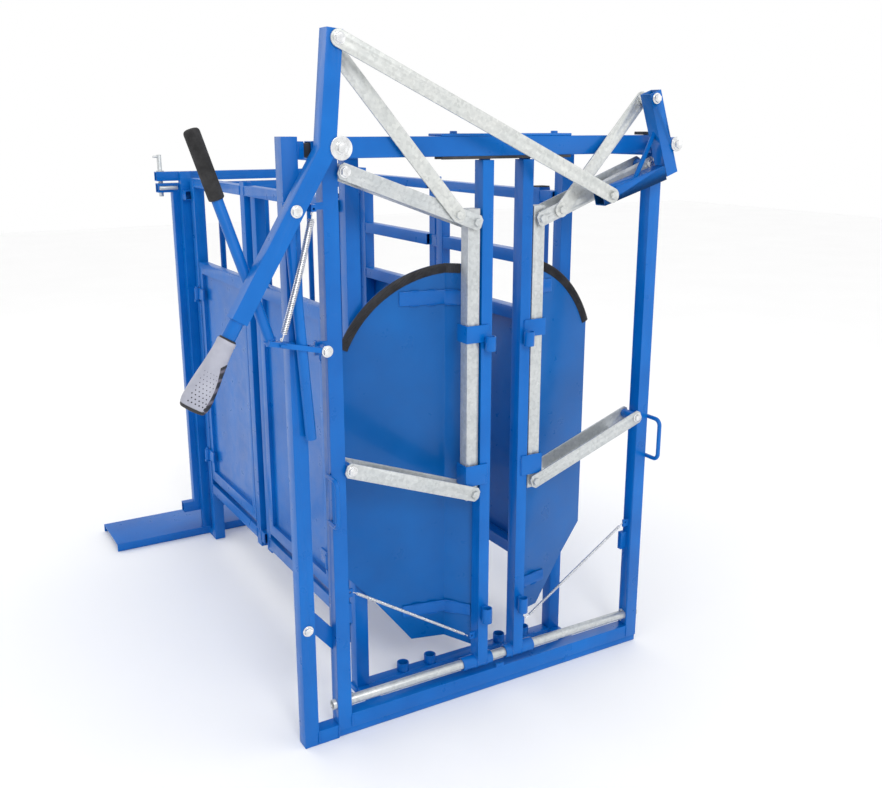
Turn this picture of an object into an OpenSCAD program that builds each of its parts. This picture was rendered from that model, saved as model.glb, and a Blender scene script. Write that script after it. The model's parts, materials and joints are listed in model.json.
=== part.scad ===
// Cattle squeeze chute for calves and small cattle: a sliding head gate in front of a framed chute.
// Origin: middle of the head gate, on the floor. +X to the right seen from the front, +Y to the rear.

/* [Head gate frame] */
// Outer width of the head gate
gate_w = 1007; // [960:1:1060]
// Height of the top of the head gate's posts
gate_h = 1520; // [1500:1:1560]
// Side of the square frame tube
tube = 38; // [36:0.5:40]
// Wall of the frame tube
wall = 2.5; // [2:0.1:3]
// Height of the top beam's section
beam_h = 47; // [44:1:50]
// Height of the runner under the head gate
skid_h = 20; // [18:1:22]
// Distance of the outer post's middle from the head gate's middle
outer_post_x = 579; // [576:1:584]

/* [Gate leaves] */
// Distance of each stanchion's middle from the gate's middle, closed
stanchion_x = 60; // [58:0.5:62]
// Width of the stanchion tube
stanchion_w = 32; // [30:1:34]
// Height of the slide pipe's middle
pipe_z = 90; // [88:0.5:94]
// Outer radius of the slide pipe
pipe_r = 13.35; // [13:0.05:13.4]
// Height of the top edge of the shoulder panels
panel_top = 1203; // [1190:1:1215]
// Height of the bottom edge of the shoulder panels
panel_bottom = 148; // [140:1:155]
// Distance of the panels' outer edge from the gate's middle, closed
panel_reach = 394; // [385:1:398]
// Thickness of the panel sheet
sheet_t = 2.5; // [2:0.1:3]

/* [Linkage] */
// Distance of the link pivots from the gate's middle
link_pivot_x = 453; // [452.5:0.5:454]
// Length of each link between its pins
link_len = 376.7; // [374:0.1:379]
// Slope of the links below level when the gate is closed
link_slope = 20; // [19:0.5:21]
// Height of the upper link pivots
upper_pivot_z = 1444; // [1440:1:1450]
// Height of the lower link pivots
lower_pivot_z = 732; // [728:1:736]
// Distance along the upper link from its pivot to the strap bolt
strap_bolt_at = 317; // [310:1:320]

/* [Chute body] */
// Left outer face of the chute's sides
body_left = -375; // [-378:1:-372]
// Right outer face of the chute's sides
body_right = 330; // [326:1:334]
// Front face of the chute's front posts
body_front = 153; // [152:1:156]
// Rear face of the chute's rear legs
body_rear = 1430; // [1400:1:1460]
// Height of the top of the side rails
rail_top = 1366; // [1350:1:1380]

/* [Hidden] */
$fn = 48;
blue = [0.02, 0.32, 0.75];
zinc = [0.78, 0.8, 0.8];
black = [0.06, 0.06, 0.07];
grip_grey = [0.6, 0.6, 0.64];

half = gate_w / 2;
face = tube / 2;                      // front and rear faces of the head gate stand this far from Y = 0
post_in = half - tube;                // inner face of the head gate's posts
bolt_r = 6.25;                        // half inch bolts
bolt_hole_r = 6.35;
beam_z = gate_h - beam_h;             // underside of the top beam
bottom_beam_top = skid_h + 39;

// Linkage points in the XZ plane
function link_end(z) = [link_pivot_x - link_len * cos(link_slope), z - link_len * sin(link_slope)];
upper_end = link_end(upper_pivot_z);
lower_end = link_end(lower_pivot_z);
strap_x = link_pivot_x - strap_bolt_at * cos(link_slope);
strap_z = upper_pivot_z - strap_bolt_at * sin(link_slope);
lever_pivot = [-489, 1497];
lever_top = [-489, 1722];
lever_bend = [-519, 1494];
lock_bolt = [-597, 1366];
lever_arm_len = 417;                  // square part of the lever's lower arm
lever_neck_r = 16;                    // round tube between the square arm and the grip
crank_pivot = [483, 1497];
crank_low = [272, 1371];              // bolt of the long strap
crank_top = [407, 1612];              // bolt of the right strap
lock_end = [-561, 835];
release_pivot = [-521, 1044];
release_elbow = [-648, 1074];
release_tip = [-800, 1538];
spring_top = [-547, 1362];
spring_foot = [-632, 1080];
spring_y = -62;

// Layers in front of the head gate's front face, as distances from Y = 0
flange_in = 27;                       // inner faces of the link flanges
flange_out = 31;
strap_y = [-37, -32];                 // straps that lie on the links
lock_y = -40;                         // middle of the lock tube
lock_r = 12.7;
arm_y = [-91, -53];                   // lever and bell crank tubes
long_y = [-97, -92];                  // long strap
release_y = [-58, -22];               // release bar
handle_y = -35;                       // middle of the release bar's handle tube
pivot_sleeve_r = 13;
strap_w = 38;

// Shoulder panel in plan: stanchion, bend, outer edge
panel_plan = [[60, 19], [118, 94], [panel_reach, 146]];
panel_arc_r = 333;                    // upper outer arc of the panel
panel_arc_x = 93;                     // the arc's middle, as a distance from the gate's middle
trim_w = 26;
front_post_in = 7;                    // the chute's front posts stand this far right of its side rails

// Sides of the chute
rail_h = 30;                          // height of the top rail's section
rail_under = rail_top - rail_h;
front_leg_y = 252;                    // front face of the foremost leg
inner_post_y = [800, 838];            // centre post set in from the side's outer face
inner_post_depth = [8, 40];
outer_post_y = [871, 909];            // centre post at the side's outer face
outer_post_depth = [0, 27];
centre_post_foot = 172;
base_rail_z = [191, 229];

// ---- helpers ----

// Box from its lowest to its highest corner
module block(a, b) { translate(a) cube(b - a); }

// Hollow rectangular tube along X, Y or Z, between two corners, open at both ends
module tube_x(a, b, t = wall) {
    difference() {
        block(a, b);
        block([a.x - 1, a.y + t, a.z + t], [b.x + 1, b.y - t, b.z - t]);
    }
}
module tube_y(a, b, t = wall) {
    difference() {
        block(a, b);
        block([a.x + t, a.y - 1, a.z + t], [b.x - t, b.y + 1, b.z - t]);
    }
}
module tube_z(a, b, t = wall) {
    difference() {
        block(a, b);
        block([a.x + t, a.y + t, a.z - 1], [b.x - t, b.y - t, b.z + 1]);
    }
}

// Cylinder along Y between two depths, about a point of the XZ plane
module disc_y(p, r, y0, y1) {
    translate([p.x, y0, p.y]) rotate([-90, 0, 0]) cylinder(r = r, h = y1 - y0);
}

// Cylinder along X
module disc_x(y, z, r, x0, x1) {
    translate([x0, y, z]) rotate([0, 90, 0]) cylinder(r = r, h = x1 - x0);
}

// Cylinder along Z
module disc_z(x, y, r, z0, z1) {
    translate([x, y, z0]) cylinder(r = r, h = z1 - z0);
}

// Frame whose X axis runs from p towards q in the XZ plane
module along(p, q) {
    translate([p.x, 0, p.y]) rotate([0, -atan2(q.y - p.y, q.x - p.x), 0]) children();
}

// Rod between two points of the XZ plane at depth y
module rod(p, q, r, y) {
    along(p, q) disc_x(y, 0, r, 0, norm(q - p));
}

// Flat bar with round ends and a bolt hole at each end
module flat_bar(p, q, y, w) {
    len = norm(q - p);
    along(p, q) difference() {
        union() {
            block([0, y[0], -w / 2], [len, y[1], w / 2]);
            disc_y([0, 0], w / 2, y[0], y[1]);
            disc_y([len, 0], w / 2, y[0], y[1]);
        }
        disc_y([0, 0], bolt_hole_r, y[0] - 1, y[1] + 1);
        disc_y([len, 0], bolt_hole_r, y[0] - 1, y[1] + 1);
    }
}

// Bolt along Y with a hexagon head at y0 and a nut at y1
module bolt(p, y0, y1) {
    disc_y(p, bolt_r, y0, y1);
    translate([p.x, y0 - 8, p.y]) rotate([-90, 30, 0]) cylinder(r = 11, h = 8, $fn = 6);
    disc_y(p, 14, y0 - 2, y0);
}

module left_side() { mirror([1, 0, 0]) children(); }

// ---- head gate frame ----

// Post on the right with its pivot sleeves, spring eye and a boss for the pivot bolt at the top
module gate_post(top_pivot_x) {
    boss = [top_pivot_x, lever_pivot.y];
    color(blue) difference() {
        union() {
            tube_z([post_in, -face, skid_h], [half, face, gate_h + 1]);
            for (z = [upper_pivot_z, lower_pivot_z])
                disc_y([link_pivot_x, z], pivot_sleeve_r, -flange_in + 0.5, flange_in - 0.5);
            block([post_in - 19, -3, 384], [post_in, 3, 406]);
            block([post_in - 18, 5, 308], [post_in, face, 362]);
            disc_y(boss, 15, arm_y[1] + 0.5, -face);
        }
        for (z = [upper_pivot_z, lower_pivot_z])
            disc_y([link_pivot_x, z], bolt_hole_r, -30, 30);
        disc_y(boss, bolt_hole_r, arm_y[1], face + 1);
        disc_x(0, pipe_z, pipe_r + 0.15, post_in - 5, half + 5);
        disc_y([post_in - 11, 397], 3, -4, 4);
    }
}
module front_right_post() { gate_post(crank_pivot.x); }

// The left post also carries the lug and hinge ear of the release bar, and its spring's tab
module front_left_post() {
    left_side() gate_post(-lever_pivot.x);
    color(blue) difference() {
        union() {
            translate([0, 0, release_pivot.y])
                block([release_pivot.x - 14, -face, -16], [-half, -face + 6, 16]);
            block([-553, -face, 1362], [-half, -face + 5, 1378]);
            block([-553, spring_y - 6, 1362], [-541, -face + 5, 1378]);
        }
        disc_y(release_pivot, bolt_hole_r, -face - 1, face + 1);
        translate([0, spring_y, 0]) disc_y([-547, 1368], 3, -8, 8);
    }
}

// Inverted channel that the stanchions' tongues run in
module top_beam() {
    color(blue) difference() {
        block([-post_in, -face, beam_z], [post_in, face, gate_h]);
        block([-post_in - 1, -face + 4, beam_z - 1], [post_in + 1, face - 4, gate_h - 4]);
    }
}

module bottom_beam() {
    color(blue) tube_x([-post_in, -face, skid_h], [post_in, face, bottom_beam_top]);
    color(blue) block([-13, -face, bottom_beam_top], [13, -face + 10, bottom_beam_top + 9]);
}

module base_skid() {
    color(blue) block([-half, -face + 3, 0], [half, face - 3, skid_h]);
}

tie_bolt = [-outer_post_x, 330];
module outer_left_post() {
    color(blue) difference() {
        tube_z([-outer_post_x - face, -face, 0], [-outer_post_x + face, face, gate_h + 1]);
        disc_y(tie_bolt, bolt_hole_r, -face - 1, face + 1);
    }
}

// Short members between the outer post and the head gate
near = -outer_post_x + face;
module outer_post_ties() {
    color(blue) tube_x([near, -face, 0], [-half, face, tube]);
    color(blue) tube_x([near, -face, beam_z], [near + 15, face, beam_z + tube]);
    color(blue) tube_x([near + 32, -face, beam_z], [-half, face, beam_z + tube]);
    color(blue) intersection() {
        translate([near, 6, 343]) rotate([0, 50, 0]) block([-30, 0, -20], [110, 6, 20]);
        block([near, 0, 200], [-half, face, 400]);
    }
}

// Plate bolted over the middle of the top beam
module guide_plate() {
    color(blue) block([-192, -face, gate_h], [192, face + 30, gate_h + 6]);
    color(zinc) for (x = [-150, 150]) disc_z(x, 0, 9, gate_h + 6, gate_h + 12);
}

// Wear strips under the beam's two flanges; the stanchions' tongues pass between them
module guide_pad() {
    color(black) for (s = [-1, 1]) block([-192, s * 15.5 - 3.5, beam_z - 7], [192, s * 15.5 + 3.5, beam_z]);
}

module slide_pipe() {
    color(zinc) difference() {
        disc_x(0, pipe_z, pipe_r, -half - 9, half + 9);
        disc_x(0, pipe_z, pipe_r - 2.9, -half - 10, half + 10);
        for (x = [-post_in + 8, post_in - 8]) disc_z(x, 0, 2.2, pipe_z - 20, pipe_z + 20);
    }
}

module pipe_cotters() {
    color(zinc) for (x = [-post_in + 8, post_in - 8]) {
        disc_z(x, 0, 2, pipe_z - 20, pipe_z + 16);
        disc_z(x, 0, 5, pipe_z + 16, pipe_z + 19);
    }
}

// Bent rod loops on the outer sides of the posts
handle_z = [604, 724];
handle_out = -65;
handle_rod_r = 6;
handle_bend = 18;
module side_handles() {
    color(blue) for (s = [-1, 1]) translate([s * (half + handle_rod_r), 0, 0]) {
        disc_z(0, handle_out, handle_rod_r, handle_z[0] + handle_bend, handle_z[1] - handle_bend);
        for (i = [0, 1]) {
            disc_y([0, handle_z[i]], handle_rod_r, handle_out + handle_bend, -handle_rod_r);
            translate([0, handle_out + handle_bend, handle_z[i] + (i == 0 ? handle_bend : -handle_bend)])
                rotate([0, 90, 0]) rotate(i == 0 ? 270 : 180) rotate_extrude(angle = 90)
                    translate([handle_bend, 0]) circle(r = handle_rod_r);
        }
    }
}

// Pivot bolts held by the posts, and the bolt of the outer post
module frame_bolts() {
    color(zinc) {
        for (s = [-1, 1], z = [upper_pivot_z, lower_pivot_z])
            bolt([s * link_pivot_x, z], -flange_out - 0.3, 38);
        bolt(lever_pivot, arm_y[0] - 4, face);
        disc_y(lever_pivot, 26, arm_y[0] - 4, arm_y[0]);
        bolt(crank_pivot, arm_y[0] - 4, face);
        disc_y(crank_pivot, 19, arm_y[0] - 4, arm_y[0]);
        bolt(tie_bolt, -face, face + 8);
        for (z = [1040, 1358]) disc_x(0, z, 7, half, half + 8);
        bolt(release_pivot, release_y[0], -face + 12);
    }
}

// ---- chute body ----

module body_front_posts() {
    color(blue) {
        for (x = [body_left + front_post_in, body_right - tube + front_post_in])
            tube_z([x, body_front, 14], [x + tube, body_front + tube, 1467]);
    }
}

// Cross member over the front posts, with the two ties to the head gate
module body_header() {
    color(blue) {
        tube_x([-half, body_front, 1467], [half, body_front + tube, 1467 + tube]);
        for (x = [-half, post_in])
            tube_y([x, face, 1467], [x + tube, body_front, 1467 + tube]);
    }
}

// Floor bar under the front posts with its ties to the runner, and the short open sockets on it
socket_x = [-212, -122, 122, 212];
floor_bar_h = 14;
module floor_bar() {
    color(blue) {
        block([body_left, body_front, 0], [body_right + front_post_in, body_front + tube, floor_bar_h]);
        for (x = [body_left + front_post_in, body_right - tube + front_post_in])
            block([x, face - 3, 0], [x + tube, body_front, floor_bar_h]);
        for (x = socket_x) difference() {
            disc_z(x, body_front + face, 17.5, floor_bar_h + 0.02, 40);
            disc_z(x, body_front + face, 14.5, floor_bar_h, 41);
        }
    }
}

// Rails of a side at one height, between its legs and its two centre posts
module side_rails(x, z) {
    tube_y([x[0], front_leg_y + tube, z[0]], [x[1], inner_post_y[0], z[1]]);
    tube_y([x[0], inner_post_y[1], z[0]], [x[1], outer_post_y[0], z[1]]);
    tube_y([x[0], outer_post_y[1], z[0]], [x[1], body_rear - tube, z[1]]);
}

// Posts and rails of a side; s is 1 on the left and -1 on the right, and depths run inwards
module side_frame(outer, s) {
    function depth(d) = s > 0 ? [outer + d[0], outer + d[1]] : [outer - d[1], outer - d[0]];
    x = depth([0, tube]);
    inner = depth(inner_post_depth);
    outer_post = depth(outer_post_depth);
    front = body_front + tube;
    color(blue) {
        tube_z([x[0], front_leg_y, 100], [x[1], front_leg_y + tube, rail_top + 7]);
        tube_z([inner[0], inner_post_y[0], centre_post_foot], [inner[1], inner_post_y[1], rail_under]);
        tube_z([outer_post[0], outer_post_y[0], centre_post_foot],
            [outer_post[1], outer_post_y[1], rail_top + 11]);
        tube_z([x[0], body_rear - tube, 0], [x[1], body_rear, rail_under]);
        tube_y([x[0], front_leg_y + tube, rail_under], [x[1], outer_post_y[0], rail_top]);
        tube_y([x[0], outer_post_y[1], rail_under], [x[1], body_rear, rail_top]);
        tube_y([x[0], front, rail_under], [x[1], front_leg_y, rail_top]);
        tube_y([x[0], front, base_rail_z[0]], [x[1], front_leg_y, base_rail_z[1]]);
        side_rails(x, base_rail_z);
    }
}
module left_side_frame() { side_frame(body_left, 1); }

module right_side_frame() {
    side_frame(body_right, -1);
    color(blue) for (z = [969, 1144]) side_rails([body_right - tube, body_right], [z, z + tube]);
}

module right_side_sheet() {
    color(blue) block([body_right, 262, 200], [body_right + sheet_t, body_rear - 10, 1000]);
}

// Door of the left side: frame of tubes with a sheet; y0 and y1 are its ends
door_x = [body_left, body_left + 32];
module door(y0, y1, hinge_y, strap_y0) {
    color(blue) difference() {
        union() {
            for (y = [y0, y1 - 32]) tube_z([door_x[0], y, 290], [door_x[1], y + 32, 1036]);
            for (z = [252, 1036]) tube_y([door_x[0], y0, z], [door_x[1], y1, z + tube]);
            block([door_x[0] + 12, y0 + 32, 290], [door_x[0] + 12 + sheet_t, y1 - 32, 1036]);
            for (z = hinge_heights) disc_z(hinge_x, hinge_y, 9, z, z + 40);
            for (z = hinge_heights)
                block([body_left - 7, strap_y0, z], [body_left, strap_y0 + 58, z + 40]);
        }
        for (z = hinge_heights) disc_z(hinge_x, hinge_y, hinge_pin_r + 0.08, z - 1, z + 41);
    }
}
hinge_x = body_left - 10;
hinge_pin_r = 6;
hinge_heights = [330, 940];
front_door_y = [300, 784];
rear_door_y = [912, 1384];
front_hinge_y = 290;
rear_hinge_y = 1394;

module left_front_door() { door(front_door_y[0], front_door_y[1], front_hinge_y, front_hinge_y + 1); }
module left_rear_door() { door(rear_door_y[0], rear_door_y[1], rear_hinge_y, rear_hinge_y - 59); }

// Pins and lugs of the two doors
module hinge_pins() {
    color(blue) for (y = [front_hinge_y, rear_hinge_y], z = hinge_heights) {
        disc_z(hinge_x, y, hinge_pin_r, z - 2, z + 46);
        away = y < 800 ? y - 12 : y;
        block([hinge_x - 8, away, z - 10], [body_left, away + 12, z - 2]);
    }
}

// Rear top beam on its two posts, with the post that the tail gate hangs on
rear_y = [1500, 1532];
rear_pin = [-455, 1516];
gate_hinge = [306, 1544];
rear_post_x = [-396, 302];
module rear_frame() {
    color(blue) {
        difference() {
            tube_x([-472, rear_y[0], 1354], [338, rear_y[1], 1386]);
            disc_z(rear_pin.x, rear_pin.y, 8.6, 1350, 1390);
        }
        for (x = rear_post_x) {
            tube_z([x, rear_y[0] - 32, 30], [x + 36, rear_y[0], 1386]);
            tube_y([x + 2, body_rear, 1290], [x + 34, rear_y[0] - 32, 1322]);
        }
        tube_z([body_right - 32, rear_y[0], 30], [body_right, rear_y[1], 1354]);
        for (z = tail_hinge_heights) {
            disc_z(gate_hinge.x, gate_hinge.y, hinge_pin_r, z - 2, z + 46);
            block([gate_hinge.x - 8, rear_y[1], z - 10], [gate_hinge.x + 8, gate_hinge.y + 8, z - 2]);
        }
    }
}
tail_hinge_heights = [180, 1180];

// Channel on the floor across the rear, tied to the rear legs
module rear_sill() {
    color(blue) {
        difference() {
            block([-728, 1467, 0], [body_right, 1695, 30]);
            block([-729, 1472, -1], [body_right + 1, 1690, 25]);
        }
        for (x = [body_left, body_right - tube]) block([x, body_rear, 0], [x + tube, 1467, 25]);
    }
}

// Tail gate: two stiles, three round bars and two rails, hinged at the right
module tail_gate() {
    y0 = rear_y[0];
    y1 = rear_y[1];
    color(blue) difference() {
        union() {
            for (x = [-418, 264]) tube_z([x, y0, 130], [x + 26, y1, 1314]);
            for (x = [-240, -63, 113]) disc_z(x, rear_pin.y, 10.7, 129, 1315);
            tube_x([-470, y0, 1314], [290, y1, 1346]);
            tube_x([-460, y0, 92], [290, y1, 130]);
            for (z = tail_hinge_heights) {
                disc_z(gate_hinge.x, gate_hinge.y, 9, z, z + 40);
                block([232, y1, z], [gate_hinge.x, y1 + 6, z + 40]);
            }
        }
        for (z = tail_hinge_heights) disc_z(gate_hinge.x, gate_hinge.y, hinge_pin_r + 0.08, z - 1, z + 41);
        disc_z(rear_pin.x, rear_pin.y, 8.6, 1310, 1350);
    }
}

// Drop pin of the tail gate; its collar rests on the beam
module drop_pin() {
    color(zinc) {
        disc_z(rear_pin.x, rear_pin.y, 8, 1300, 1445);
        disc_z(rear_pin.x, rear_pin.y, 13, 1386, 1390);
        disc_x(rear_pin.y, 1438, 4, rear_pin.x - 22, rear_pin.x);
    }
}

// Bright rod welded along the front of the gate's top rail
module gate_rod() {
    color(zinc) disc_x(rear_y[0] - 7, 1330, 7, -466, -402);
}

// Plastic caps in the open ends of the tubes that show
module end_caps() {
    plug = face - wall - 0.1;
    cap_y = [front_leg_y + 1, front_leg_y + tube - 1];
    color(black) {
        block([431, -face + 2, gate_h + 1], [post_in - 1, face - 2, gate_h + 9]);
        block([body_right - tube + 1, cap_y[0], rail_top + 7], [body_right - 1, cap_y[1], rail_top + 11]);
        block([body_left + 1, cap_y[0], rail_top + 7], [body_left + tube - 1, cap_y[1], rail_top + 11]);
        block([near, -plug, beam_z + 4], [near + 32, plug, beam_z + tube - 4]);
    }
}

// ---- leaves ----

// Stanchion tube on its sleeve, with the tongue that runs in the top beam and a spring tab
module stanchion() {
    x0 = stanchion_x - stanchion_w / 2;
    x1 = stanchion_x + stanchion_w / 2;
    top = beam_z - 10;
    color(blue) difference() {
        union() {
            tube_z([x0, -face, pipe_z], [x1, face, top]);
            block([x0, -face, top - 4], [x1, face, top]);
            block([stanchion_x - 10, -10, top], [stanchion_x + 10, 10, gate_h - 12]);
            block([x1, -3, 162], [x1 + 16, 3, 182]);
        }
        disc_x(0, pipe_z, sleeve_r, x0 - 1, x1 + 1);
        disc_y([x1 + 10, 172], 3, -4, 4);
    }
}
sleeve_r = 19;

// Sleeve that slides on the pipe
module sleeve() {
    color(blue) difference() {
        disc_x(0, pipe_z, sleeve_r, 23, 119);
        disc_x(0, pipe_z, pipe_r + 0.4, 22, 120);
    }
}

// Two guides that hold the upright, and two open pipe collars on the stanchion's front
upright_x = upper_end.x;
upright_half = 17.5;
module leaf_brackets() {
    x1 = stanchion_x + stanchion_w / 2;
    out = upright_x + upright_half + 1;
    color(blue) {
        for (z = [[1010, 1055], [624, 680]]) {
            block([56, -face - 5, z[0]], [out + 5, -face, z[1]]);
            block([67, face, z[0]], [out + 5, face + 5, z[1]]);
            block([out, -face, z[0]], [out + 5, face, z[1]]);
        }
        for (z = [[989, 1027], [222, 266]]) collar(stanchion_x, z);
    }
}
collar_r = 14;
collar_y = -face - 5 - 14;
module collar(x, z) {
    y = collar_y;
    difference() {
        union() {
            disc_z(x, y, collar_r, z[0], z[1]);
            block([x - 8, y, z[0]], [x + 8, -face - (z[0] > 900 ? 5 : 0), z[1]]);
        }
        disc_z(x, y, collar_r - 3, z[0] - 1, z[1] + 1);
    }
}

// Plan of a sheet that follows the panel, moved forward by a distance
module panel_strip(from, to, near = 0) {
    a = panel_plan;
    function shift(p, n) = [p.x + n.x, p.y + n.y];
    n1 = [0.791, -0.612];
    n2 = [0.185, -0.983];
    nb = [0.54, -0.882];
    polygon([
        shift(a[0], n1 * from), shift(a[1], nb * from), shift(a[2], n2 * from),
        shift(a[2], n2 * to), shift(a[1], nb * to), shift(a[0], n1 * to)
    ]);
}

// Front outline of the panel, with its top and upper outer arc moved in by a margin
module panel_outline(margin = 0) {
    middle = [panel_arc_x, panel_top - panel_arc_r];
    foot = panel_bottom - 27;
    polygon([
        [40, foot - 3], [122, foot + 18], [215, foot + 22], [panel_reach - 77, foot + 154],
        [panel_reach, foot + 241], [panel_reach, middle.y + 60], [middle.x, middle.y + 60],
        [middle.x, panel_top - margin], [40, panel_top - margin]
    ]);
    intersection() {
        translate(middle) circle(r = panel_arc_r - margin, $fn = 120);
        translate(middle) square([panel_reach - middle.x, panel_arc_r]);
    }
}
module panel_slab(from, to) {
    intersection() {
        translate([0, 0, 100]) linear_extrude(1200) panel_strip(from, to);
        translate([0, 200, 0]) rotate([90, 0, 0]) linear_extrude(220) children();
    }
}
module panel() { color(blue) panel_slab(-sheet_t, 0) panel_outline(); }

// Rubber strip along the top and the outer curve
module edge_trim() {
    color(black) panel_slab(0, 5) difference() {
        panel_outline();
        panel_outline(trim_w);
        square([84, 1400]);
        square([500, 980]);
    }
}

// Two straps welded across the panel's bend
module panel_straps() {
    color(blue) panel_slab(0, 5) {
        translate([92, 1096]) square([150, 38]);
        translate([72, 215]) square([170, 35]);
    }
}

// Galvanised tube that slides up and down in the guides
module upright() {
    x0 = upright_x - upright_half;
    x1 = upright_x + upright_half;
    color(zinc) difference() {
        tube_z([x0, -16, lower_end.y - 20], [x1, 16, upper_end.y + 28]);
        for (z = [upper_end.y, lower_end.y]) disc_y([upright_x, z], bolt_hole_r, -20, 20);
    }
    color(black) block([x0, -16, upper_end.y + 28], [x1, 16, upper_end.y + 32]);
}

// Channel link with chamfered ends, built from its pivot along +X at the left side of the gate
module channel_link(pivot_z, straps) {
    cut = 9;
    web_end = 70;
    a = -16;
    b = link_len + 15;
    pivot = [-link_pivot_x, pivot_z];
    tip = [-link_end(pivot_z).x, link_end(pivot_z).y];
    color(zinc) along(pivot, tip) {
        difference() {
            union() {
                for (y = [-flange_in, flange_out]) translate([0, y, 0]) rotate([90, 0, 0])
                    linear_extrude(flange_out - flange_in) polygon([
                        [a, -19 + cut], [a + cut, -19], [b - cut, -19], [b, -19 + cut],
                        [b, 19 - cut], [b - cut, 19], [a + cut, 19], [a, 19 - cut]
                    ]);
                block([62, -flange_out, -19], [link_len - web_end, flange_out, -16]);
            }
            for (x = [0, link_len]) disc_y([x, 0], bolt_hole_r, -40, 40);
            if (straps) disc_y([strap_bolt_at, 0], bolt_hole_r, -40, 0);
        }
        for (s = [-1, 1]) stub([link_len, 0], s);
    }
}

// Head and short shank of a bolt in one flange of a link; the rear head is a low one
module stub(p, s) {
    head_h = s > 0 ? 4 : 8;
    head = s > 0 ? [flange_out, flange_out + head_h] : [-flange_out - head_h, -flange_out];
    y = s > 0 ? [flange_in, head[1]] : [head[0], -flange_in];
    disc_y(p, bolt_hole_r, y[0], y[1]);
    head_r = s > 0 ? 9 : 11;
    translate([p.x, head[0], p.y]) rotate([-90, 30, 0]) cylinder(r = head_r, h = head_h, $fn = 6);
}
module left_upper_link() { channel_link(upper_pivot_z, true); }
module left_lower_link() { channel_link(lower_pivot_z, false); }

// Close-wound spring with a hook at each end
module spring(p, q, r, y, hook) {
    len = norm(q - p);
    color(zinc) along(p, q) difference() {
        union() {
            disc_x(y, 0, r, hook, len - hook);
            disc_x(y, 0, 1.6, 4, hook);
            disc_x(y, 0, 1.6, len - hook, len - 4);
        }
        disc_x(y, 0, r - 2, hook + 4, len - hook - 4);
    }
}
module leaf_spring() { spring([post_in - 19, 396], [stanchion_x + 38, 175], 4, 0, 16); }

module right_stanchion() { stanchion(); }
module right_sleeve() { sleeve(); }
module right_leaf_brackets() { leaf_brackets(); }
module right_panel() { panel(); }
module right_panel_straps() { panel_straps(); }
module right_edge_trim() { edge_trim(); }
module right_upright() { upright(); }
module right_upper_link() { left_side() channel_link(upper_pivot_z, true); }
module right_lower_link() { left_side() channel_link(lower_pivot_z, false); }
module right_leaf_spring() { leaf_spring(); }
module left_stanchion() { left_side() stanchion(); }
module left_sleeve() { left_side() sleeve(); }
module left_leaf_brackets() { left_side() leaf_brackets(); }
module left_panel() { left_side() panel(); }
module left_panel_straps() { left_side() panel_straps(); }
module left_edge_trim() { left_side() edge_trim(); }
module left_upright() { left_side() upright(); }
module left_leaf_spring() { left_side() leaf_spring(); }

// ---- lever drive ----

left_strap_end = [-strap_x, strap_z];
right_strap_end = [strap_x, strap_z];
module strap(p, q, y) {
    color(zinc) {
        flat_bar(p, q, y, strap_w);
        disc_y(q, bolt_r, y[0], y[1]);
        translate([q.x, y[0] - 8, q.y]) rotate([-90, 30, 0]) cylinder(r = 11, h = 8, $fn = 6);
    }
}
module left_strap() { strap(lever_top, left_strap_end, strap_y); }
module right_strap() { strap(crank_top, right_strap_end, strap_y); }
module long_strap() { strap(lever_top, crank_low, long_y); }

// Square tube between two points of the XZ plane
module arm(p, q) {
    len = norm(q - p);
    along(p, q) tube_x([0, arm_y[0], -face], [len, arm_y[1], face]);
}

lever_dir = (lock_bolt - lever_bend) / norm(lock_bolt - lever_bend);
arm_end = lever_bend + lever_dir * lever_arm_len;
grip_ends = [arm_end + lever_dir * 46, arm_end + lever_dir * 215];
arm_mid = (arm_y[0] + arm_y[1]) / 2;

// Outline of a strip of half width h about the bent line a, b, c
function bent(a, b, c, h) =
    let (u = (b - a) / norm(b - a), v = (c - b) / norm(c - b), n = [-u.y, u.x], k = [-v.y, v.x])
    let (m = (n + k) / (1 + n * k))
    [a + n * h, b + m * h, c + k * h, c - k * h, b - m * h, a - n * h];
module bent_slab(a, b, c, h, y0, y1) {
    translate([0, y1, 0]) rotate([90, 0, 0]) linear_extrude(y1 - y0) polygon(bent(a, b, c, h));
}

// Bent lever: square tube with a pivot sleeve beside the bend, and a round tube for the grip
module lever() {
    top = [-495.5, 1742];
    up = (top - lever_bend) / norm(top - lever_bend);
    color(blue) difference() {
        union() {
            difference() {
                bent_slab(top, lever_bend, arm_end, face, arm_y[0], arm_y[1]);
                bent_slab(top + up * 2, lever_bend, arm_end - lever_dir * 3, face - wall,
                    arm_y[0] + wall, arm_y[1] - wall);
            }
            disc_y(lever_pivot, 15, arm_y[0], arm_y[1]);
            rod(arm_end - lever_dir * 2, grip_ends[1] - lever_dir * 6, lever_neck_r, arm_mid);
        }
        disc_y(lever_pivot, bolt_hole_r, arm_y[0] - 1, arm_y[1] + 1);
        disc_y(lever_top, bolt_hole_r, arm_y[0] - 1, arm_y[1] + 1);
        disc_y(lock_bolt, bolt_hole_r, arm_y[0] - 1, arm_y[1] + 1);
    }
}

// Moulded grip that swells towards its lower end; each row is a distance and a radius there
grip_profile = [[10, 22], [67, 26], [107, 31], [137, 33], [158, 32], [169, 26]];
module lever_grip() {
    color(grip_grey) translate([grip_ends[0].x, arm_mid, grip_ends[0].y])
        rotate([0, 90 - atan2(lever_dir.y, lever_dir.x), 0]) difference() {
            union() {
                cylinder(r = grip_profile[0][1], h = grip_profile[0][0]);
                for (i = [1:len(grip_profile) - 1]) {
                    low = grip_profile[i - 1];
                    high = grip_profile[i];
                    translate([0, 0, low[0]]) cylinder(r1 = low[1], r2 = high[1], h = high[0] - low[0]);
                }
            }
            translate([0, 0, -1]) cylinder(r = lever_neck_r + 0.05, h = 165);
        }
}

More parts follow.
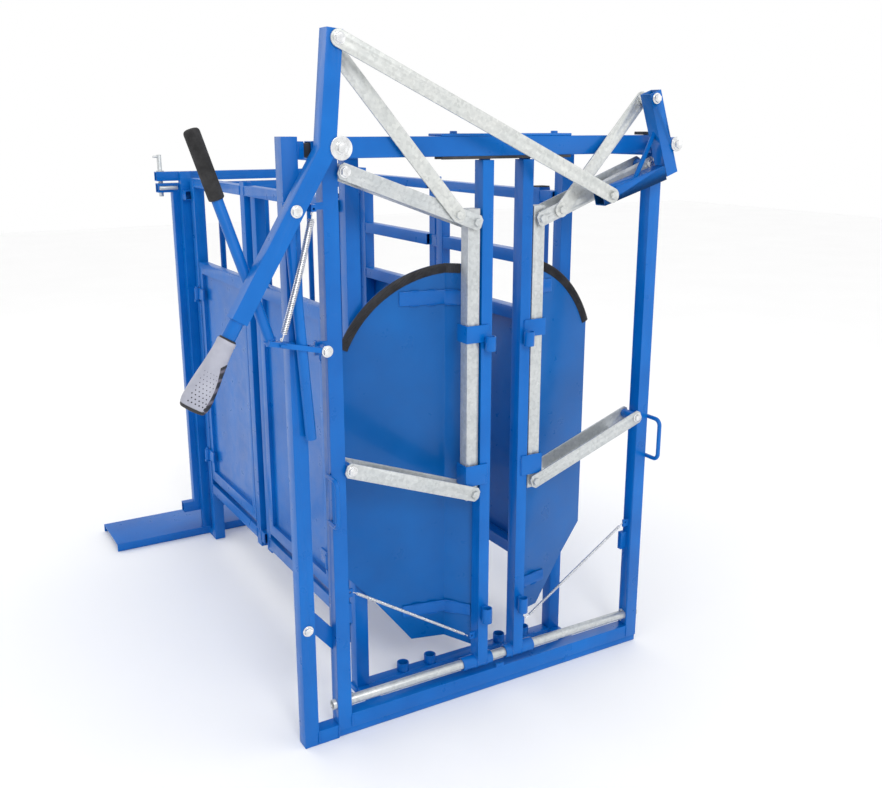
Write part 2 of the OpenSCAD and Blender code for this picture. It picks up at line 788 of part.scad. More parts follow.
// Bolt at the top of the lever through both straps, and the lock tube's bolt
module lever_bolts() {
    color(zinc) {
        bolt(lever_top, long_y[0], strap_y[1] + 8);
        disc_y(lever_top, 14, arm_y[1], strap_y[0]);
        bolt(lock_bolt, arm_y[0], -lock_r + lock_y + 2 * lock_r + 8);
    }
}

// Bell crank: upright tube, long lower arm, brace rod and pivot sleeve
module bell_crank() {
    color(blue) difference() {
        union() {
            arm([402, 1628], [476, 1420]);
            arm([246, 1363.3], [452, 1424.3]);
            rod([426, 1535], [364, 1412], 6, arm_mid);
            disc_y(crank_pivot, 18, arm_y[0], arm_y[1]);
        }
        disc_y(crank_pivot, bolt_hole_r, arm_y[0] - 1, arm_y[1] + 1);
        disc_y(crank_low, bolt_hole_r, arm_y[0] - 1, arm_y[1] + 1);
        disc_y(crank_top, bolt_hole_r, arm_y[0] - 1, arm_y[1] + 1);
    }
}

// Crank bolts: one through the right strap, one whose head covers the long strap
module crank_bolts() {
    color(zinc) {
        bolt(crank_top, arm_y[0], strap_y[1] + 8);
        disc_y(crank_top, 14, arm_y[1], strap_y[0]);
        disc_y(crank_low, 14, arm_y[1], arm_y[1] + 8);
    }
}

// Round tube that the release bar grips
module lock_tube() {
    dir = (lock_end - lock_bolt) / norm(lock_end - lock_bolt);
    color(blue) difference() {
        rod(lock_bolt - dir * 17, lock_end, lock_r, lock_y);
        rod(lock_bolt + dir * 16, lock_end + dir, lock_r - 2.5, lock_y);
        disc_y(lock_bolt, bolt_hole_r, lock_y - 20, lock_y + 20);
    }
}

// Release bar: flat bar with a slot that grips the lock tube, and the rising handle tube
module release_bar() {
    out = release_elbow;
    dir = (release_tip - out) / norm(release_tip - out);
    color(blue) difference() {
        union() {
            disc_y(release_pivot, 12, release_y[0], release_y[1]);
            along(release_pivot, out) {
                block([0, release_y[0] + 0.5, -6], [norm(out - release_pivot) + 12, release_y[1] - 0.5, 6]);
                block([104, spring_y - 5, -3], [118, release_y[0] + 4, 3]);
            }
            rod(out - dir * 4, release_tip - dir * 3, 12.5, handle_y);
        }
        disc_y(release_pivot, bolt_hole_r, -60, 0);
        along(release_pivot, out)
            block([slot[0], lock_y - lock_r - 1, -10], [slot[1], lock_y + lock_r + 1, 10]);
    }
}
slot = [36, 84];                      // ends of the slot, as distances from the hinge

module release_grip() {
    dir = (release_tip - release_elbow) / norm(release_tip - release_elbow);
    color(black) difference() {
        rod(release_tip - dir * 152, release_tip, 17.5, handle_y);
        rod(release_tip - dir * 153, release_tip - dir * 3, 12.55, handle_y);
    }
}

module release_spring() { spring(spring_top, spring_foot, 7, spring_y, 18); }

front_left_post();
front_right_post();
top_beam();
bottom_beam();
base_skid();
outer_left_post();
outer_post_ties();
guide_plate();
guide_pad();
slide_pipe();
pipe_cotters();
side_handles();
frame_bolts();
body_front_posts();
body_header();
floor_bar();
left_side_frame();
right_side_frame();
right_side_sheet();
rear_frame();
rear_sill();
hinge_pins();
end_caps();
left_stanchion();
left_sleeve();
left_leaf_brackets();
left_panel();
left_panel_straps();
left_edge_trim();
left_upright();
left_upper_link();
left_lower_link();
left_strap();
left_leaf_spring();
right_stanchion();
right_sleeve();
right_leaf_brackets();
right_panel();
right_panel_straps();
right_edge_trim();
right_upright();
right_upper_link();
right_lower_link();
right_strap();
right_leaf_spring();
lever();
lever_grip();
lever_bolts();
long_strap();
bell_crank();
crank_bolts();
lock_tube();
release_bar();
release_grip();
release_spring();
left_front_door();
left_rear_door();
tail_gate();
drop_pin();
gate_rod();
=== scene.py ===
import json
import math
import random

import bpy
import bmesh
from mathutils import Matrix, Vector


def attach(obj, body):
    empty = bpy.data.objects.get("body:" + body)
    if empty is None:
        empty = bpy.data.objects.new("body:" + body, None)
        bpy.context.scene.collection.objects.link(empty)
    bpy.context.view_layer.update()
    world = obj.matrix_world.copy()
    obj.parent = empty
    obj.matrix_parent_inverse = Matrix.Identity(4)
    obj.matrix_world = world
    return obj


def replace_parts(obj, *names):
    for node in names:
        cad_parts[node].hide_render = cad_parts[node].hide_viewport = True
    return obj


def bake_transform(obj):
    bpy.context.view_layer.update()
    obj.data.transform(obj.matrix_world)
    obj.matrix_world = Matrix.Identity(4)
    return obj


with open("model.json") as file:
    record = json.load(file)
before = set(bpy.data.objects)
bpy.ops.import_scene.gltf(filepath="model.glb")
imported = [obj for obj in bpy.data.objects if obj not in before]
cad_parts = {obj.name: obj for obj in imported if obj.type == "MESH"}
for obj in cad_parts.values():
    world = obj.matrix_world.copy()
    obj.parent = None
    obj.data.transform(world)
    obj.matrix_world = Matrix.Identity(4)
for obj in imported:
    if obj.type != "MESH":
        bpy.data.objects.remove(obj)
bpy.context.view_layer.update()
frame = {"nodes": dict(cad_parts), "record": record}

MM = 0.001
NODES = frame["nodes"]
SLOTS = {s["node"]: s["material_slot"] for s in frame["record"]["subparts"]}
SIDES = (("left", -1), ("right", 1))


# ---- camera, floor and light ----

def make_camera():
    data = bpy.data.cameras.new("camera")
    data.lens, data.sensor_width = 40.27, 36.0
    data.clip_start, data.clip_end = 0.05, 60
    cam = bpy.data.objects.new("camera", data)
    bpy.context.scene.collection.objects.link(cam)
    yaw, pitch = math.radians(30.46), math.radians(15.20)
    aim = Vector((math.sin(yaw) * math.cos(pitch), math.cos(yaw) * math.cos(pitch), -math.sin(pitch)))
    cam.location = Vector((-1416.6, -2095.1, 1543.5)) * MM
    cam.rotation_mode = "QUATERNION"
    cam.rotation_quaternion = aim.to_track_quat("-Z", "Y")
    bpy.context.scene.camera = cam


def area_light(name, place, target, size, power, color=(1, 1, 1)):
    data = bpy.data.lights.new(name, "AREA")
    data.shape, data.size, data.energy, data.color = "DISK", size, power, color
    lamp = bpy.data.objects.new(name, data)
    lamp.location = place
    lamp.rotation_mode = "QUATERNION"
    lamp.rotation_quaternion = (Vector(target) - Vector(place)).to_track_quat("-Z", "Y")
    bpy.context.scene.collection.objects.link(lamp)


def make_studio():
    world = bpy.data.worlds.new("studio")
    bpy.context.scene.world = world
    world.use_nodes = True
    back = world.node_tree.nodes["Background"]
    back.inputs["Color"].default_value = (1.0, 1.0, 1.0, 1)
    back.inputs["Strength"].default_value = 1.0
    area_light("key", (-1.2, -4.4, 3.6), (0, 0.3, 0.8), 1.6, 75)
    area_light("fill", (3.6, -3.0, 2.4), (0, 0.4, 0.8), 3.0, 12)
    area_light("rear", (-2.6, 4.0, 3.6), (0, 0.8, 0.8), 3.0, 25)
    bpy.context.scene.view_settings.view_transform = "Standard"
    size = 14.0
    mesh = bpy.data.meshes.new("floor")
    corners = [(-size, -size, 0), (size, -size, 0), (size, size, 0), (-size, size, 0)]
    mesh.from_pydata(corners, [], [(0, 1, 2, 3)])
    floor = bpy.data.objects.new("floor", mesh)
    floor.location.z = -0.0005
    bpy.context.scene.collection.objects.link(floor)
    floor.data.materials.append(MATERIALS["floor"])


# ---- materials ----

class Nodes:
    """Shortcuts to build a node material."""

    def __init__(self, name):
        self.mat = bpy.data.materials.new(name)
        self.mat.use_nodes = True
        self.tree = self.mat.node_tree
        self.shader = self.tree.nodes["Principled BSDF"]
        self.place = self.new("ShaderNodeTexCoord").outputs["Object"]

    def new(self, kind, **values):
        node = self.tree.nodes.new(kind)
        for key, value in values.items():
            setattr(node, key, value)
        return node

    def link(self, a, b):
        self.tree.links.new(a, b)

    def noise(self, scale, detail=3.0, roughness=0.55):
        node = self.new("ShaderNodeTexNoise")
        node.inputs["Scale"].default_value = scale
        node.inputs["Detail"].default_value = detail
        node.inputs["Roughness"].default_value = roughness
        self.link(self.place, node.inputs["Vector"])
        return node.outputs["Fac"]

    def cells(self, scale, output):
        node = self.new("ShaderNodeTexVoronoi", feature="F1")
        node.inputs["Scale"].default_value = scale
        self.link(self.place, node.inputs["Vector"])
        return node.outputs[output]

    def ramp(self, value, *stops):
        node = self.new("ShaderNodeValToRGB")
        elements = node.color_ramp.elements
        while len(elements) < len(stops):
            elements.new(0.5)
        for element, (at, color) in zip(elements, stops):
            element.position = at
            element.color = (*color, 1) if len(color) == 3 else color
        self.link(value, node.inputs["Fac"])
        return node.outputs["Color"]

    def spread(self, value, low, high, a=0.3, b=0.7):
        node = self.new("ShaderNodeMapRange")
        for key, number in (("From Min", a), ("From Max", b), ("To Min", low), ("To Max", high)):
            node.inputs[key].default_value = number
        self.link(value, node.inputs["Value"])
        return node.outputs["Result"]

    def mix(self, factor, a, b, blend="MIX"):
        node = self.new("ShaderNodeMix", data_type="RGBA", blend_type=blend)
        for socket, value in ((node.inputs[0], factor), (node.inputs[6], a), (node.inputs[7], b)):
            if isinstance(value, (int, float)):
                socket.default_value = value
            elif isinstance(value, tuple):
                socket.default_value = (*value, 1)
            else:
                self.link(value, socket)
        return node.outputs[2]

    def bump(self, height, strength, distance, after=None):
        node = self.new("ShaderNodeBump")
        node.inputs["Strength"].default_value = strength
        node.inputs["Distance"].default_value = distance
        self.link(height, node.inputs["Height"])
        if after is not None:
            self.link(after, node.inputs["Normal"])
        return node.outputs["Normal"]

    def finish(self, color, roughness, normal=None, **fixed):
        for key, value in (("Base Color", color), ("Roughness", roughness), ("Normal", normal)):
            if value is None:
                continue
            if isinstance(value, (int, float)):
                self.shader.inputs[key].default_value = value
            elif isinstance(value, tuple):
                self.shader.inputs[key].default_value = (*value, 1)
            else:
                self.link(value, self.shader.inputs[key])
        for key, value in fixed.items():
            self.shader.inputs[key.replace("_", " ")].default_value = value
        return self.mat


def paint(name, base, dark, light):
    """Gloss powder coat with a fine orange peel, soft tone changes and a little dust."""
    n = Nodes(name)
    tone = n.ramp(n.noise(5.5, 3), (0.32, dark), (0.52, base), (0.72, light))
    dust = n.spread(n.noise(38, 5, 0.7), 0.0, 0.02, 0.62, 0.8)
    color = n.mix(dust, tone, (0.42, 0.5, 0.58))
    rough = n.spread(n.noise(22, 4, 0.6), 0.26, 0.42)
    peel = n.bump(n.noise(420, 2), 0.16, 0.0006)
    wave = n.bump(n.noise(14, 1), 0.06, 0.003, peel)
    return n.finish(color, rough, wave, Coat_Weight=0.14, Coat_Roughness=0.1, Specular_IOR_Level=0.22)


def galvanised(name, tint=(1, 1, 1)):
    """Hot-dip zinc with its spangle, streaks and dull patches."""
    n = Nodes(name)
    c = [tuple(v * t for v, t in zip(level, tint)) for level in
         ((0.5, 0.52, 0.525), (0.56, 0.58, 0.585), (0.62, 0.64, 0.64))]
    spangle = n.ramp(n.cells(140, "Color"), (0.1, c[0]), (0.5, c[1]), (0.95, c[2]))
    cloud = n.ramp(n.noise(14, 4, 0.65), (0.3, (0.87, 0.89, 0.9)), (0.7, (1, 1, 1)))
    color = n.mix(1.0, spangle, cloud, "MULTIPLY")
    rough = n.spread(n.noise(60, 4, 0.6), 0.28, 0.5)
    grain = n.bump(n.noise(300, 3), 0.18, 0.0004)
    lumps = n.bump(n.noise(48, 2), 0.14, 0.0012, grain)
    return n.finish(color, rough, lumps, Metallic=0.55)


def zinc(name, color=(0.82, 0.83, 0.84)):
    """Bright plated steel with fine scratches."""
    n = Nodes(name)
    tone = n.ramp(n.noise(90, 3), (0.3, tuple(v * 0.8 for v in color)), (0.7, color))
    rough = n.spread(n.noise(160, 4, 0.7), 0.16, 0.34)
    marks = n.bump(n.noise(500, 2), 0.12, 0.0003)
    return n.finish(tone, rough, marks, Metallic=0.95)


def rubber(name, color, light, scale, strength, roughness=(0.55, 0.8), distance=0.0006):
    """Matt rubber, foam or plastic with a fine moulded grain."""
    n = Nodes(name)
    tone = n.ramp(n.noise(30, 4, 0.6), (0.35, color), (0.7, light))
    rough = n.spread(n.noise(70, 3), *roughness)
    grain = n.bump(n.noise(scale, 3, 0.7), strength, distance)
    return n.finish(tone, rough, grain, Specular_IOR_Level=0.4)


def dimpled(name):
    """Pale grey moulded rubber with a fine grain."""
    n = Nodes(name)
    tone = n.ramp(n.noise(26, 4, 0.6), (0.35, (0.33, 0.34, 0.41)), (0.7, (0.41, 0.42, 0.49)))
    return n.finish(tone, n.spread(n.noise(80, 3), 0.45, 0.65), n.bump(n.noise(600, 3), 0.15, 0.0004))


def swirled(name):
    """Black rubber with paler swirls."""
    n = Nodes(name)
    wave = n.new("ShaderNodeTexWave", wave_type="RINGS")
    for key, number in (("Scale", 14.0), ("Distortion", 5.0), ("Detail", 2.5), ("Detail Scale", 0.8)):
        wave.inputs[key].default_value = number
    n.link(n.place, wave.inputs["Vector"])
    tone = n.ramp(wave.outputs["Fac"], (0.55, (0.012, 0.012, 0.015)), (0.95, (0.12, 0.11, 0.15)))
    return n.finish(tone, n.spread(n.noise(80, 3), 0.4, 0.6), n.bump(n.noise(500, 3), 0.15, 0.0004))


def floor_material():
    n = Nodes("floor")
    tone = n.ramp(n.noise(1.4, 3), (0.3, (0.96, 0.96, 0.96)), (0.7, (0.98, 0.98, 0.98)))
    return n.finish(tone, n.spread(n.noise(9, 3), 0.6, 0.75))


BLUE = (0.0, 0.125, 0.47)
MATERIALS = {
    "blue_paint": paint("blue_paint", BLUE, (0.0, 0.108, 0.42), (0.0, 0.142, 0.52)),
    # darker copy of the blue paint for the panels' sheets: painted shade of the panels
    "shaded_sheet_paint": paint("shaded_sheet_paint", (0.0, 0.112, 0.4), (0.0, 0.1, 0.36), (0.0, 0.126, 0.44)),
    "galvanised": galvanised("galvanised"),
    "zinc_plate": zinc("zinc_plate"),
    "black_rubber": rubber("black_rubber", (0.02, 0.02, 0.024), (0.045, 0.045, 0.05), 380, 0.3, (0.4, 0.6)),
    "black_plastic": rubber("black_plastic", (0.012, 0.013, 0.016), (0.025, 0.026, 0.03), 520, 0.2,
                            (0.4, 0.55)),
    "black_foam": rubber("black_foam", (0.012, 0.012, 0.013), (0.035, 0.035, 0.037), 240, 0.6,
                         (0.75, 0.92), 0.0012),
    "grey_grip": dimpled("grey_grip"),
    "grip_black": rubber("grip_black", (0.015, 0.015, 0.017), (0.03, 0.03, 0.033), 300, 0.3, (0.45, 0.6)),
    "grip_swirl": swirled("grip_swirl"),
    "strap_zinc": galvanised("strap_zinc", (1.12, 1.1, 1.06)),
    "floor": floor_material(),
}


# ---- mesh helpers (millimetres in, metres out) ----

def piece(name, verts, faces, material, body, smooth=True):
    """Mesh object with its material, slot and body; a piece that blends gets no body here."""
    mesh = bpy.data.meshes.new(name)
    mesh.from_pydata([Vector(v) * MM for v in verts], [], faces)
    mesh.validate()
    bm = bmesh.new()
    bm.from_mesh(mesh)
    bmesh.ops.remove_doubles(bm, verts=bm.verts, dist=1e-6)
    bmesh.ops.recalc_face_normals(bm, faces=bm.faces)
    bm.to_mesh(mesh)
    bm.free()
    obj = bpy.data.objects.new(name, mesh)
    bpy.context.scene.collection.objects.link(obj)
    mesh.materials.append(MATERIALS[material])
    if smooth:
        mesh.shade_smooth()
        mesh.set_sharp_from_angle(angle=math.radians(35))
    if body:
        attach(obj, body)
    return obj


def round_edges(obj, width):
    """Rounds the edges of a CAD node, after joining the flat triangles of each face."""
    weld = obj.modifiers.new("weld", "WELD")
    weld.merge_threshold = 1e-5
    flat = obj.modifiers.new("flat", "DECIMATE")
    flat.decimate_type, flat.angle_limit = "DISSOLVE", math.radians(0.5)
    mod = obj.modifiers.new("edges", "BEVEL")
    mod.width, mod.segments = width * MM, 2
    mod.limit_method, mod.angle_limit = "ANGLE", math.radians(40)
    mod.use_clamp_overlap = True
    mod.harden_normals = True


class Shape:
    """Collects vertices and faces of one piece."""

    def __init__(self):
        self.verts, self.faces = [], []

    def add(self, verts, faces):
        base = len(self.verts)
        self.verts += [tuple(v) for v in verts]
        self.faces += [[base + i for i in f] for f in faces]
        return self

    def rings(self, rings, closed_path=False, caps=True):
        """Skins a list of equal closed rings of points."""
        count, size = len(rings), len(rings[0])
        verts = [p for ring in rings for p in ring]
        faces = []
        for i in range(count if closed_path else count - 1):
            j = (i + 1) % count
            for k in range(size):
                m = (k + 1) % size
                faces.append([i * size + k, i * size + m, j * size + m, j * size + k])
        if caps and not closed_path:
            faces.append(list(range(size))[::-1])
            faces.append([(count - 1) * size + k for k in range(size)])
        return self.add(verts, faces)

    def lathe(self, origin, axis, profile, sides):
        """profile is a list of (distance along axis, radius)."""
        axis = Vector(axis).normalized()
        u = axis.orthogonal().normalized()
        v = axis.cross(u)
        rings = []
        for along, radius in profile:
            centre = Vector(origin) + axis * along
            rings.append([centre + (u * math.cos(a) + v * math.sin(a)) * radius
                          for a in (2 * math.pi * k / sides for k in range(sides))])
        return self.rings(rings)

    def pipe(self, path, radius, sides):
        """Round rod along a list of points; radius is a number or one number per point."""
        path = [Vector(p) for p in path]
        radii = radius if isinstance(radius, (list, tuple)) else [radius] * len(path)
        rings, u = [], None
        for i, p in enumerate(path):
            t = (path[min(i + 1, len(path) - 1)] - path[max(i - 1, 0)]).normalized()
            u = t.orthogonal().normalized() if u is None else (u - t * u.dot(t)).normalized()
            v = t.cross(u)
            rings.append([p + (u * math.cos(a) + v * math.sin(a)) * radii[i]
                          for a in (2 * math.pi * k / sides for k in range(sides))])
        return self.rings(rings)

    def make(self, name, material, body, **options):
        return piece(name, self.verts, self.faces, material, body, **options)


make_camera()
make_studio()

# ---- carried-over CAD nodes: materials and rounded edges ----

EDGE = {"blue_paint": 2.2, "galvanised": 0.8, "zinc_plate": 0.9, "black_rubber": 1.0, "black_plastic": 1.0,
        "black_foam": 2.0, "grey_grip": 1.0}
SHEET_EDGE = 0.7
SHEETS = ("left_panel", "right_panel", "right_side_sheet")
STRAPS = ("left_strap", "right_strap", "long_strap")


def dress_node(name, node):
    slot_name = SLOTS[name]
    material = slot_name
    if name in SHEETS:
        # the sheets get the darker blue copy, which is painted shade
        material = "shaded_sheet_paint"
    elif name in STRAPS:
        material = "strap_zinc"
    node.data.materials.clear()
    node.data.materials.append(MATERIALS[material])
    round_edges(node, SHEET_EDGE if name in SHEETS else EDGE[slot_name])
    node.data.shade_smooth()
    node.data.set_sharp_from_angle(angle=math.radians(30))


for node_name, node in NODES.items():
    dress_node(node_name, node)


# ---- springs ----

STEPS_A_TURN = 12


def coil_path(start, end, hook, turns, radius, sag=(0, 0, 0)):
    """Centre line of a close-wound spring with a round hook at each end."""
    a, b = Vector(start), Vector(end)
    axis = (b - a).normalized()
    length = (b - a).length
    u = Vector((0, 1, 0))
    v = axis.cross(u)
    eye = 0.7 * radius
    hook_angles = (3.9, 4.7, 5.5, 6.2)
    path = [a + axis * eye * (1 - math.cos(t)) + v * eye * math.sin(t) for t in hook_angles]
    steps = STEPS_A_TURN * turns
    for i in range(steps + 1):
        angle = 2 * math.pi * i / STEPS_A_TURN
        along = hook + (length - 2 * hook) * i / steps
        swell = min(1, 2.5 * i / STEPS_A_TURN, 2.5 * (steps - i) / STEPS_A_TURN)
        path.append(a + axis * along + (u * math.cos(angle) + v * math.sin(angle)) * radius * swell)
    path += [b - axis * eye * (1 - math.cos(t)) + v * eye * math.sin(t) for t in hook_angles[::-1]]
    bow = Vector(sag)
    return [p + bow * math.sin(math.pi * min(1, max(0, (p - a).dot(axis) / length))) for p in path]


def spring(name, start, end, hook, wire, radius, body, sag=(0, 0, 0)):
    """Coil that replaces the CAD node of its name, wound between an eye on the frame and an eye on a moving
    part; the body argument is not used.
    """
    turns = int((Vector(end) - Vector(start)).length - 2 * hook) // int(wire * 2 + 1)
    path = coil_path(start, end, hook, turns, radius - wire, sag)
    coil = Shape().pipe(path, wire, 7).make(name, "zinc_plate", None)
    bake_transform(coil)
    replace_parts(coil, name)


POST_EYE, LEAF_EYE = (446.5, 0, 396), (98, 0, 175)
RELEASE_EYES = ((-547, -62, 1362), (-632, -62, 1080))
RELEASE_SAG = (3.0, 0, -1.0)
for side, sign in SIDES:
    ends = [(sign * x, y, z) for x, y, z in (POST_EYE, LEAF_EYE)]
    spring(side + "_leaf_spring", ends[0], ends[1], 14, 1.1, 4.2, side + "_leaf")
spring("release_spring", *RELEASE_EYES, 16, 1.6, 8.0, "release_bar", RELEASE_SAG)


# ---- rubber trims of the panels ----

PANEL_PLAN = ((60, 19), (118, 94), (394, 146))
ARC_X, ARC_R, PANEL_TOP, PANEL_REACH = 93, 333, 1203, 394


def panel_depth(x):
    """Depth of the panel's sheet at a distance from the gate's middle."""
    low, high = (PANEL_PLAN[0], PANEL_PLAN[1]) if x < PANEL_PLAN[1][0] else (PANEL_PLAN[1], PANEL_PLAN[2])
    return low[1] + (high[1] - low[1]) * (x - low[0]) / (high[0] - low[0])


def trim(side, sign):
    """Rounded strip over the sheet's curved edge, cut across by fine ribs."""
    inset, half_width, half_depth, pitch = 12.5, 13.0, 5.6, 3.4
    rings_a_rib, sides = 4, 12
    radius = ARC_R - inset
    last = math.acos((PANEL_REACH - 5 - ARC_X) / radius)
    sweep = math.pi / 2 - last
    count = int(radius * sweep / pitch) * rings_a_rib
    rings = []
    for i in range(count + 1):
        angle = math.pi / 2 - sweep * i / count
        out = (math.cos(angle), math.sin(angle))
        on_rib = i % rings_a_rib in (0, 1)
        high, wide = (1.0, 1.0) if on_rib else (0.6, 0.93)
        ring = []
        for k in range(sides):
            turn = 2 * math.pi * k / sides
            across = half_width * math.cos(turn) * wide
            lift = 1.0 - half_depth * high * math.sin(turn)
            x = ARC_X + out[0] * (radius + across)
            z = PANEL_TOP - ARC_R + out[1] * (radius + across)
            ring.append((sign * x, panel_depth(x) - 1.2 + lift, z))
        rings.append(ring)
    strip = Shape().rings(rings).make(side + "_trim_ribs", "black_rubber", side + "_leaf", smooth=False)
    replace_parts(strip, side + "_edge_trim")


for side, sign in SIDES:
    trim(side, sign)


# ---- grips ----

LEVER_BEND, LOCK_BOLT = Vector((-519, -72, 1494)), Vector((-597, -72, 1366))
LEVER_DIR = (LOCK_BOLT - LEVER_BEND).normalized()
GRIP_START = LEVER_BEND + LEVER_DIR * 463
GRIP_LENGTH = 169
GRIP_OVAL = 0.93                       # depth of the grip against its width
GRIP_PROFILE = ((0, 20.5), (2, 22), (9, 22.2), (10.5, 21.5), (30, 22.2), (50, 24), (70, 26.2), (90, 28.8),
                (110, 31), (130, 32.6), (148, 33), (158, 31.5), (163, 28))


def grip_radius(along):
    for (t0, r0), (t1, r1) in zip(GRIP_PROFILE, GRIP_PROFILE[1:]):
        if along <= t1:
            return r0 + (r1 - r0) * (along - t0) / (t1 - t0)
    return GRIP_PROFILE[-1][1]


def grip_point(along, turn, radius):
    """Point of the oval grip; a turn of 0 faces the front and a positive turn goes to the right."""
    front = Vector((0, -1, 0))
    right = front.cross(LEVER_DIR)
    out = front * math.cos(turn) * GRIP_OVAL + right * math.sin(turn)
    return GRIP_START + LEVER_DIR * along + out * radius


def grip_patch(name, edges, lift, material):
    """Raised patch; edges lists a distance along the grip with the turns of both sides there."""
    outer, inner = [], []
    for along, low, high in edges:
        turns = [low + (high - low) * k / 14 for k in range(15)]
        radius = grip_radius(along)
        outer.append([grip_point(along, t, radius + lift * math.sin(math.pi * k / 14) ** 0.3)
                      for k, t in enumerate(turns)])
        inner.append([grip_point(along, t, radius - 1.5) for t in turns])
    rings = [a + b[::-1] for a, b in zip(outer, inner)]
    Shape().rings(rings).make(name, material, "lever")


def grip_ring(along, radius):
    return [grip_point(along, 2 * math.pi * k / 48, radius) for k in range(48)]


def grip_inlay():
    """Dark patch that runs down the right side from a pointed top."""
    top, bottom, steps = 44, 160, 24
    edges = []
    for i in range(steps + 1):
        along = top + (bottom - top) * i / steps
        opened = min(1, max(0, (along - top) / 14)) ** 0.6
        start = 1.35 - 1.25 * opened + 0.35 * math.sin(math.pi * i / steps)
        edges.append((along, start + 0.25 * i / steps, 2.9))
    grip_patch("lever_grip_inlay", edges, 0.9, "grip_swirl")


def grip_dots():
    """Rows of small dark dots, larger towards the grip's lower end."""
    for row in range(9):
        for column in range(5):
            along = 78 + row * 9
            turn = -0.85 + column * 0.27 + (0.13 if row % 2 else 0)
            centre = grip_point(along, turn, grip_radius(along) + 0.15)
            axis = (centre - GRIP_START - LEVER_DIR * along).normalized()
            size = 0.8 + 0.12 * row
            dot = Shape().lathe(centre - axis * 1.0, axis, ((0, size), (1.0, size), (1.15, size * 0.8)), 10)
            dot.make("lever_grip_dot_%d_%d" % (row, column), "grip_black", "lever")


def lever_grip():
    shell = Shape().rings([grip_ring(along, radius) for along, radius in GRIP_PROFILE])
    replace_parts(shell.make("lever_grip_shell", "grey_grip", "lever"), "lever_grip")
    collar = Shape().lathe(GRIP_START - LEVER_DIR * 4, LEVER_DIR, ((0, 18), (1, 19.5), (6, 19.5)), 32)
    collar.make("lever_grip_ring", "grip_black", "lever")
    end_profile = ((161, 30.2), (165, 29), (168, 26), (GRIP_LENGTH, 20))
    plate = Shape().rings([grip_ring(along, radius) for along, radius in end_profile])
    plate.make("lever_grip_end", "grip_black", "lever")
    grip_inlay()
    grip_dots()


lever_grip()

FOAM_PROFILE = ((0, 13), (0.6, 15.5), (2.4, 17.2), (6, 17.5), (143, 17.5), (147, 16.6), (150, 14), (151.6, 9),
                (152, 4))
RELEASE_ELBOW, RELEASE_TIP = Vector((-648, -35, 1074)), Vector((-800, -35, 1538))
release_dir = (RELEASE_TIP - RELEASE_ELBOW).normalized()
foam = Shape().lathe(RELEASE_TIP - release_dir * FOAM_PROFILE[-1][0], release_dir,
                     FOAM_PROFILE, 40)
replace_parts(foam.make("release_grip_foam", "black_foam", "release_bar"), "release_grip")


# ---- weld beads ----

def bead(name, start, end, body, radius=2.6):
    """Rippled fillet of weld metal along a line."""
    a, b = Vector(start), Vector(end)
    length = (b - a).length
    count = max(8, int(length / 1.3))
    jitter = random.Random(name)
    path, radii = [], []
    for i in range(count + 1):
        at = i / count
        taper = min(1.0, 0.45 + 3.5 * min(at, 1 - at))
        path.append(a.lerp(b, at))
        radii.append(radius * taper * (0.86 + 0.14 * math.cos(math.pi * i) + jitter.uniform(-0.06, 0.06)))
    Shape().pipe(path, radii, 8).make(name, "blue_paint", body)


FRONT = -19.3                          # just in front of the head gate's front faces
POST_IN, HALF = 465.5, 503.5           # inner and outer faces of the head gate's posts
OUTER_POST_IN = 560
LEFT_FACE = -375.2
RIGHT_FACE = 291.6                     # inner face of the right side
LEG_ENDS = (193, 252, 290, 871, 909, 1392)
INNER_POST_ENDS = (800, 838)
TOP_RAIL, BASE_RAIL = (1338, 1364), (193, 227)


def upright_line(body, x, y, heights):
    return (body, (x, y, heights[0]), (x, y, heights[1]))


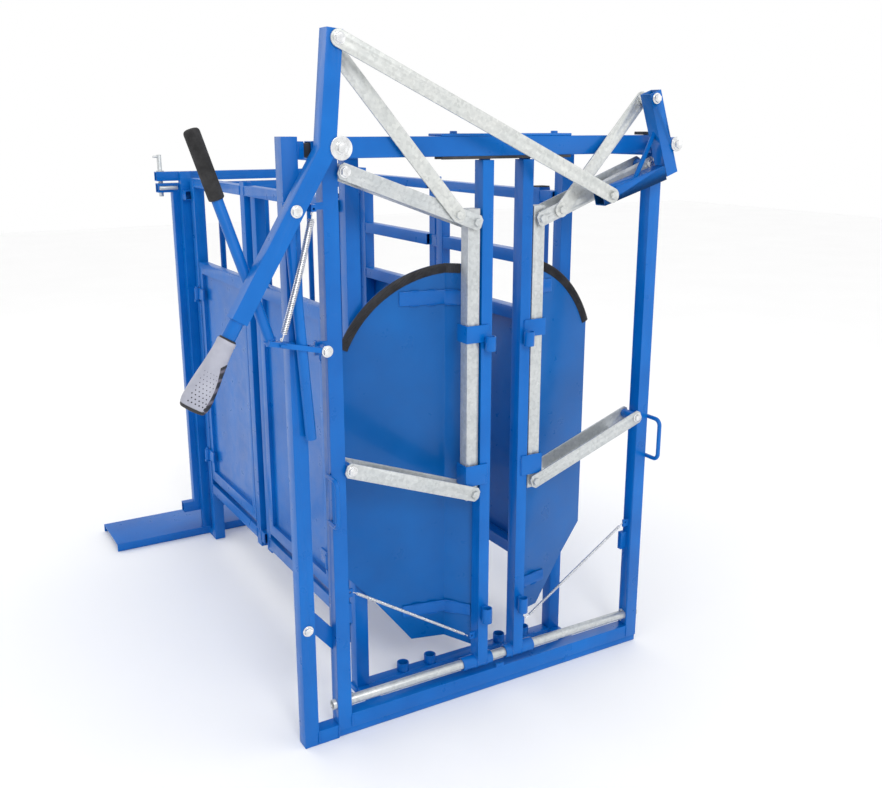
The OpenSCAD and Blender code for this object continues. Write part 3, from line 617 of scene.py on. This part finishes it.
def frame_welds():
    lines = []
    for x in (-POST_IN, POST_IN):
        lines += [upright_line("frame", x, FRONT, (1475, 1518)), upright_line("frame", x, FRONT, (22, 57))]
    for x in (-OUTER_POST_IN, -HALF):
        lines += [upright_line("frame", x, FRONT, (2, 36)), upright_line("frame", x, FRONT, (1475, 1509))]
    for x in (-368, 299):
        lines.append(("frame", (x + 2, 152.7, 1467), (x + 36, 152.7, 1467)))
    for heights in (TOP_RAIL, BASE_RAIL):
        for y in LEG_ENDS:
            lines += [upright_line("frame", x, y, heights) for x in (LEFT_FACE, RIGHT_FACE)]
    lines += [upright_line("frame", LEFT_FACE, y, BASE_RAIL) for y in INNER_POST_ENDS]
    for z in (969, 1144):
        heights = (z + 2, z + 36)
        lines += [upright_line("frame", RIGHT_FACE, y, heights) for y in (290, *INNER_POST_ENDS, 1392)]
    for _, sign in SIDES:
        for z in (604, 724):
            lines.append(("frame", (sign * (HALF + 1), -8, z - 6), (sign * (HALF + 1), 6, z - 6)))
    return lines


def leaf_welds(body, sign):
    """Guides to the stanchion, and short stitches along both straps of the panel."""
    lines = [upright_line(body, sign * 55.5, -20, heights) for heights in ((1011, 1054), (625, 679))]
    for z in (1096, 1134, 215, 250):
        for k in range(3):
            ends = [96 + 46 * k, 122 + 46 * k]
            a, b = [(sign * x, panel_depth(x) - 4.6, z) for x in ends]
            lines.append((body, a, b))
    return lines


weld_lines = frame_welds() + leaf_welds("left_leaf", -1) + leaf_welds("right_leaf", 1)
for i, (owner, start, end) in enumerate(weld_lines):
    bead("weld_%02d" % i, start, end, owner)


def ring_bead(name, centre, axis, radius, body, thick=2.2):
    """Weld bead around a round tube."""
    axis = Vector(axis).normalized()
    u = axis.orthogonal().normalized()
    v = axis.cross(u)
    count = int(2 * math.pi * radius / 1.6)
    jitter = random.Random(name)
    rings = []
    for i in range(count):
        angle = 2 * math.pi * i / count
        out = u * math.cos(angle) + v * math.sin(angle)
        size = thick * (0.86 + 0.14 * math.cos(math.pi * i) + jitter.uniform(-0.05, 0.05))
        rings.append([Vector(centre) + out * (radius + size * math.cos(t)) + axis * size * math.sin(t)
                      for t in (2 * math.pi * k / 8 for k in range(8))])
    Shape().rings(rings, closed_path=True).make(name, "blue_paint", body)


for side, sign in SIDES:
    for x in (44, 76):
        ring_bead("%s_leaf_sleeve_weld_%d" % (side, x), (sign * x, 0, 90), (1, 0, 0), 19, side + "_leaf")
ring_bead("lever_neck_weld", LEVER_BEND + LEVER_DIR * 417.5, LEVER_DIR, 16, "lever")
ring_bead("release_elbow_weld", RELEASE_ELBOW + release_dir * 8, release_dir, 12.6, "release_bar")
